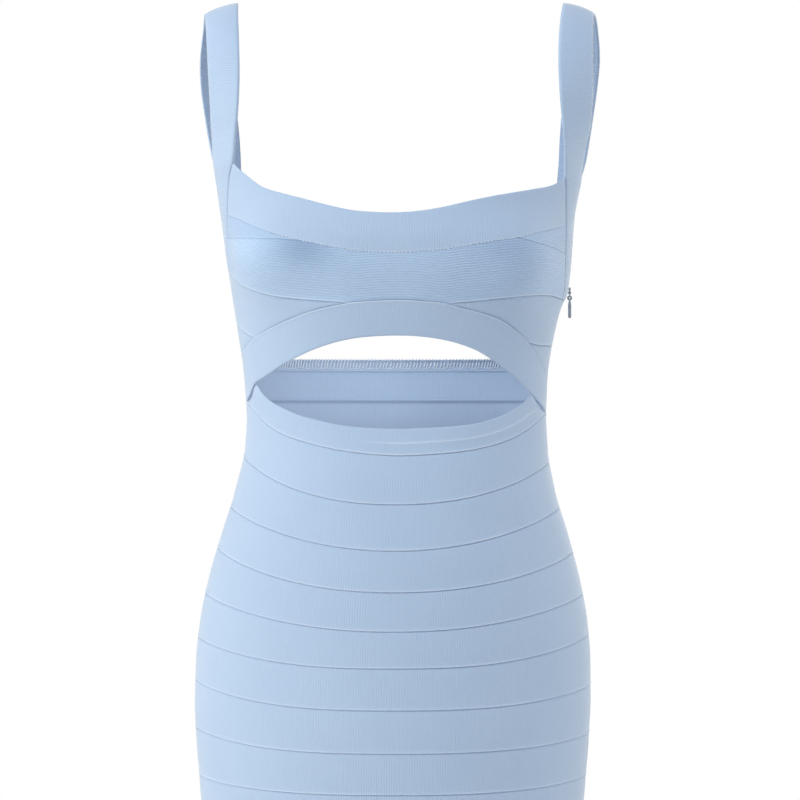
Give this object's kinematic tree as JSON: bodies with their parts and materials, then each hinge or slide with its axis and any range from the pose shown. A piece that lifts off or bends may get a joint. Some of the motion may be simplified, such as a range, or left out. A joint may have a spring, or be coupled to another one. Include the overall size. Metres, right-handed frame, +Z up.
{
  "type": "bodycon dress",
  "caption": "Sleeveless knee-length bodycon dress of banded knit with wide straps, a waist cutout, a low open back and a side zip.",
  "frame": {"origin": "midway between the tops of the two shoulder straps, on the plane of the side seams", "axes": "+Z up, the front faces -Y, the wearer's left side with the zip is +X"},
  "size_m": [0.3461, 0.225, 0.8949],
  "materials": {
    "bandage_knit": "ribbed knit, matt with a soft sheen",
    "zip_tape": "woven tape, matt",
    "zip_metal": "dark plated, satin"
  },
  "bodies": {
    "dress": {"neck_band": "bandage_knit", "wedge_left": "bandage_knit", "wedge_right": "bandage_knit", "bust_strip": "bandage_knit", "side_left_upper": "bandage_knit", "side_left_lower": "bandage_knit", "side_right_upper": "bandage_knit", "side_right_lower": "bandage_knit", "arch_band": "bandage_knit", "waist_band": "bandage_knit", "strap_left": "bandage_knit", "strap_right": "bandage_knit", "back_wing_left": "bandage_knit", "back_wing_right": "bandage_knit", "skirt_front_01": "bandage_knit", "skirt_front_02": "bandage_knit", "skirt_front_03": "bandage_knit", "skirt_front_04": "bandage_knit", "skirt_front_05": "bandage_knit", "skirt_front_06": "bandage_knit", "skirt_front_07": "bandage_knit", "skirt_front_08": "bandage_knit", "skirt_front_09": "bandage_knit", "skirt_front_10": "bandage_knit", "skirt_front_11": "bandage_knit", "skirt_front_12": "bandage_knit", "skirt_front_13": "bandage_knit", "skirt_front_14": "bandage_knit", "back_strip_01": "bandage_knit", "back_strip_02": "bandage_knit", "back_strip_03": "bandage_knit", "back_strip_04": "bandage_knit", "back_strip_05": "bandage_knit", "back_strip_06": "bandage_knit", "back_strip_07": "bandage_knit", "back_strip_08": "bandage_knit", "back_strip_09": "bandage_knit", "back_strip_10": "bandage_knit", "back_strip_11": "bandage_knit", "back_strip_12": "bandage_knit", "back_strip_13": "bandage_knit", "back_strip_14": "bandage_knit", "back_strip_15": "bandage_knit", "zip_tape": "zip_tape", "zip_slider": "zip_metal"},
    "pull": {"zip_pull": "zip_metal"}
  },
  "joints": [
    {"name": "pull_swing", "type": "hinge", "parent": "dress", "child": "pull", "pos_m": [0.1442, 0, -0.241], "axis": [0, -1, 0], "range_deg": [-4, 125]}
  ]
}
